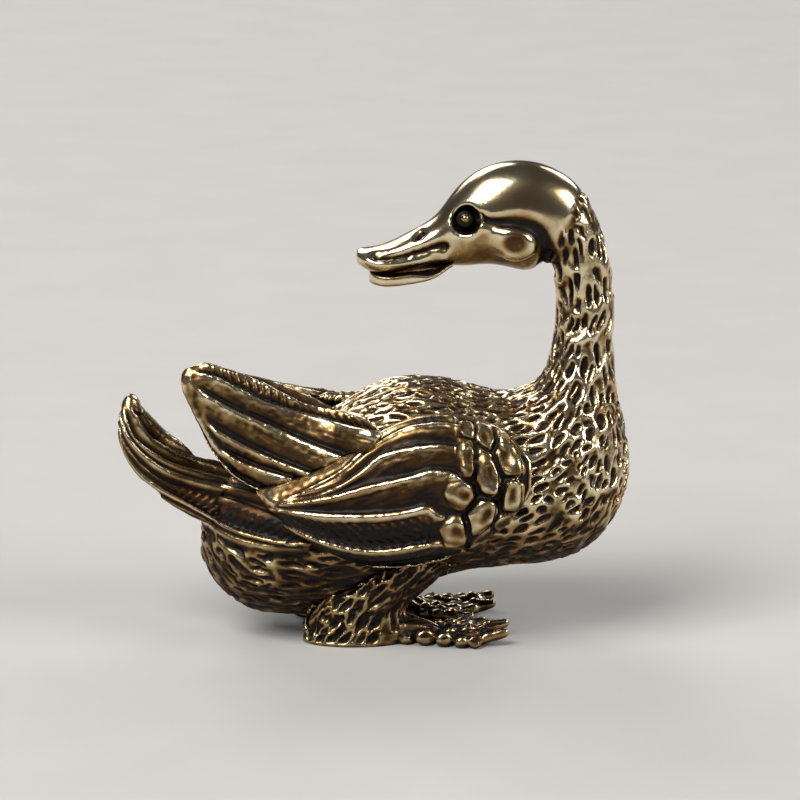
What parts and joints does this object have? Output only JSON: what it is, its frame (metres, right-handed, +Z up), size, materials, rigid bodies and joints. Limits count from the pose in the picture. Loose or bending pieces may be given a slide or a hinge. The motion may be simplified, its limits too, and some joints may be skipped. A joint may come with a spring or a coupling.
{
  "type": "duck figurine",
  "caption": "Standing antique-brass duck ornament that looks back over its folded wings and upcurled tail, on flat webbed feet.",
  "frame": {"origin": "on the ground under the middle of the figure's bounding box", "axes": "+X the way the breast points (the head looks back, along -X), +Y the bird's left, +Z up"},
  "size_m": [0.0356, 0.0166, 0.0333],
  "materials": {
    "antique_brass": "cast feather relief, bright on the high places and dark with patina in the hollows",
    "polished_brass": "smooth and polished, with dark patina only in the grooves"
  },
  "bodies": {
    "root": {"body": "antique_brass", "head": "polished_brass", "lower_bill": "polished_brass", "left_eye": "polished_brass", "right_eye": "polished_brass", "left_wing_coverts": "antique_brass", "right_wing_coverts": "antique_brass", "left_flight_feathers": "antique_brass", "right_flight_feathers": "antique_brass", "tail": "antique_brass", "left_leg": "antique_brass", "right_leg": "antique_brass", "left_foot": "antique_brass", "right_foot": "antique_brass"}
  },
  "joints": []
}
